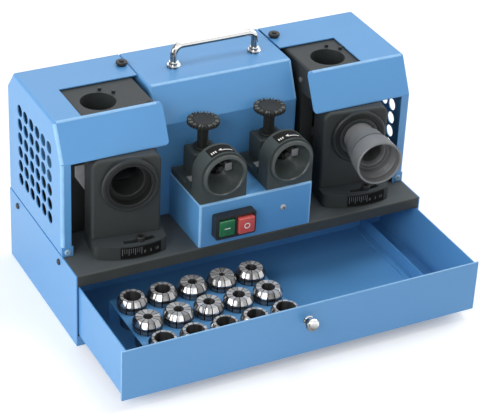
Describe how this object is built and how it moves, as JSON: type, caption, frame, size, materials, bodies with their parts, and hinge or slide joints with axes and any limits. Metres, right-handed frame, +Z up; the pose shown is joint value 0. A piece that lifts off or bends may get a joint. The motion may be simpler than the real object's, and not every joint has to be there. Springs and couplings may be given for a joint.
{
  "type": "drill bit sharpener",
  "caption": "Bench drill grinder: two guarded grinding heads with swivelling ports, two setting stations, a push-button switch and an open collet drawer in a sheet cabinet.",
  "frame": {"origin": "middle of the cabinet footprint, on the bench", "axes": "+X to the right along the cabinet, +Y to the back, +Z up"},
  "size_m": [0.5244, 0.416, 0.336],
  "materials": {
    "blue_paint": "satin powder coat",
    "plate_grey": "dark grey paint",
    "grey_casting": "dark grey painted casting",
    "black_casting": "black anodised",
    "black_plastic": "satin",
    "green_plastic": "gloss",
    "red_plastic": "gloss",
    "scale_black": "matte",
    "chrome": "polished plating",
    "bright_steel": "turned",
    "dark_steel": "black oxide",
    "chuck_grey": "grey phosphate",
    "collet_steel": "ground and polished",
    "abrasive": "plated abrasive on a metal core",
    "motor_grey": "cast frame"
  },
  "bodies": {
    "frame": {"base_plate": "plate_grey", "box_screw": "chrome", "cabinet_screws": "dark_steel", "cabinet_shell": "blue_paint", "carry_handle": "chrome", "centre_cover": "blue_paint", "control_box": "blue_paint", "drawer_runners": "blue_paint", "guard_foot_screws": "bright_steel", "handle_collars": "chrome", "head_screws": "dark_steel", "index_pins": "dark_steel", "left_guard": "blue_paint", "left_guard_bracket": "bright_steel", "left_head": "grey_casting", "left_setting_block": "black_casting", "left_setting_socket": "black_casting", "left_wheel_cover": "grey_casting", "motor_bearings": "bright_steel", "motor_housing": "motor_grey", "pivot_pins": "bright_steel", "port_lock_screws": "dark_steel", "power_inlet": "black_plastic", "right_guard": "blue_paint", "right_head": "grey_casting", "right_setting_block": "black_casting", "right_setting_socket": "black_casting", "right_wheel_cover": "grey_casting", "setting_stops": "bright_steel", "switch_housing": "black_plastic", "wheel_cover_screws": "dark_steel"},
    "rotor": {"motor_shaft": "bright_steel", "left_grinding_wheel": "abrasive", "right_grinding_wheel": "abrasive", "wheel_flanges": "bright_steel", "wheel_nuts": "bright_steel"},
    "left_port": {"left_port_block": "grey_casting", "left_scale": "scale_black", "left_port_bush": "black_casting"},
    "right_port": {"right_port_block": "grey_casting", "right_scale": "scale_black", "right_port_bush": "black_casting"},
    "chuck": {"chuck_body": "chuck_grey", "chuck_collar": "black_casting"},
    "chuck_sleeve": {"chuck_nut": "chuck_grey"},
    "start": {"start_button": "green_plastic"},
    "stop": {"stop_button": "red_plastic"},
    "left_dial": {"left_setting_dial": "black_plastic"},
    "right_dial": {"right_setting_dial": "black_plastic"},
    "left_thumb_knob": {"left_guard_knob": "black_plastic"},
    "right_thumb_knob": {"right_guard_knob": "black_plastic"},
    "drawer": {"drawer_tray": "blue_paint", "drawer_front": "blue_paint", "drawer_pull": "chrome", "drawer_divider": "blue_paint", "collet_rack": "blue_paint", "collets_rear_row": "collet_steel", "collets_middle_row": "collet_steel", "collets_front_row": "collet_steel"}
  },
  "joints": [
    {"name": "rotor_spin", "type": "hinge", "parent": "frame", "child": "rotor", "pos_m": [0, 0.0435, 0.2085], "axis": [1, 0, 0], "continuous": true},
    {"name": "left_port_swivel", "type": "hinge", "parent": "frame", "child": "left_port", "pos_m": [-0.16, -0.0015, 0.11], "axis": [0, 0, 1], "range_deg": [-9, 11]},
    {"name": "right_port_swivel", "type": "hinge", "parent": "frame", "child": "right_port", "pos_m": [0.182, -0.0015, 0.11], "axis": [0, 0, 1], "range_deg": [-9, 11]},
    {"name": "chuck_slide", "type": "slide", "parent": "right_port", "child": "chuck", "axis": [-0.1392, -0.9903, 0], "range_m": [0, 0.055]},
    {"name": "chuck_nut_turn", "type": "hinge", "parent": "chuck", "child": "chuck_sleeve", "pos_m": [0.17306, -0.08305, 0.2085], "axis": [-0.1392, -0.9903, 0], "continuous": true},
    {"name": "start_press", "type": "slide", "parent": "frame", "child": "start", "axis": [0, 1, 0], "range_m": [0, 0.003], "stiffness_N_per_m": 400},
    {"name": "stop_press", "type": "slide", "parent": "frame", "child": "stop", "axis": [0, 1, 0], "range_m": [0, 0.003], "stiffness_N_per_m": 400},
    {"name": "left_dial_turn", "type": "hinge", "parent": "frame", "child": "left_dial", "pos_m": [-0.0495, -0.0525, 0.222], "axis": [0, 0, 1], "continuous": true},
    {"name": "right_dial_turn", "type": "hinge", "parent": "frame", "child": "right_dial", "pos_m": [0.0495, -0.0525, 0.222], "axis": [0, 0, 1], "continuous": true},
    {"name": "left_thumb_knob_turn", "type": "hinge", "parent": "frame", "child": "left_thumb_knob", "pos_m": [-0.116, 0.0675, 0.3], "axis": [0, 0, 1], "continuous": true},
    {"name": "right_thumb_knob_turn", "type": "hinge", "parent": "frame", "child": "right_thumb_knob", "pos_m": [0.116, 0.0675, 0.3], "axis": [0, 0, 1], "continuous": true},
    {"name": "drawer_slide", "type": "slide", "parent": "frame", "child": "drawer", "axis": [0, -1, 0], "range_m": [-0.1507, 0.04]}
  ]
}
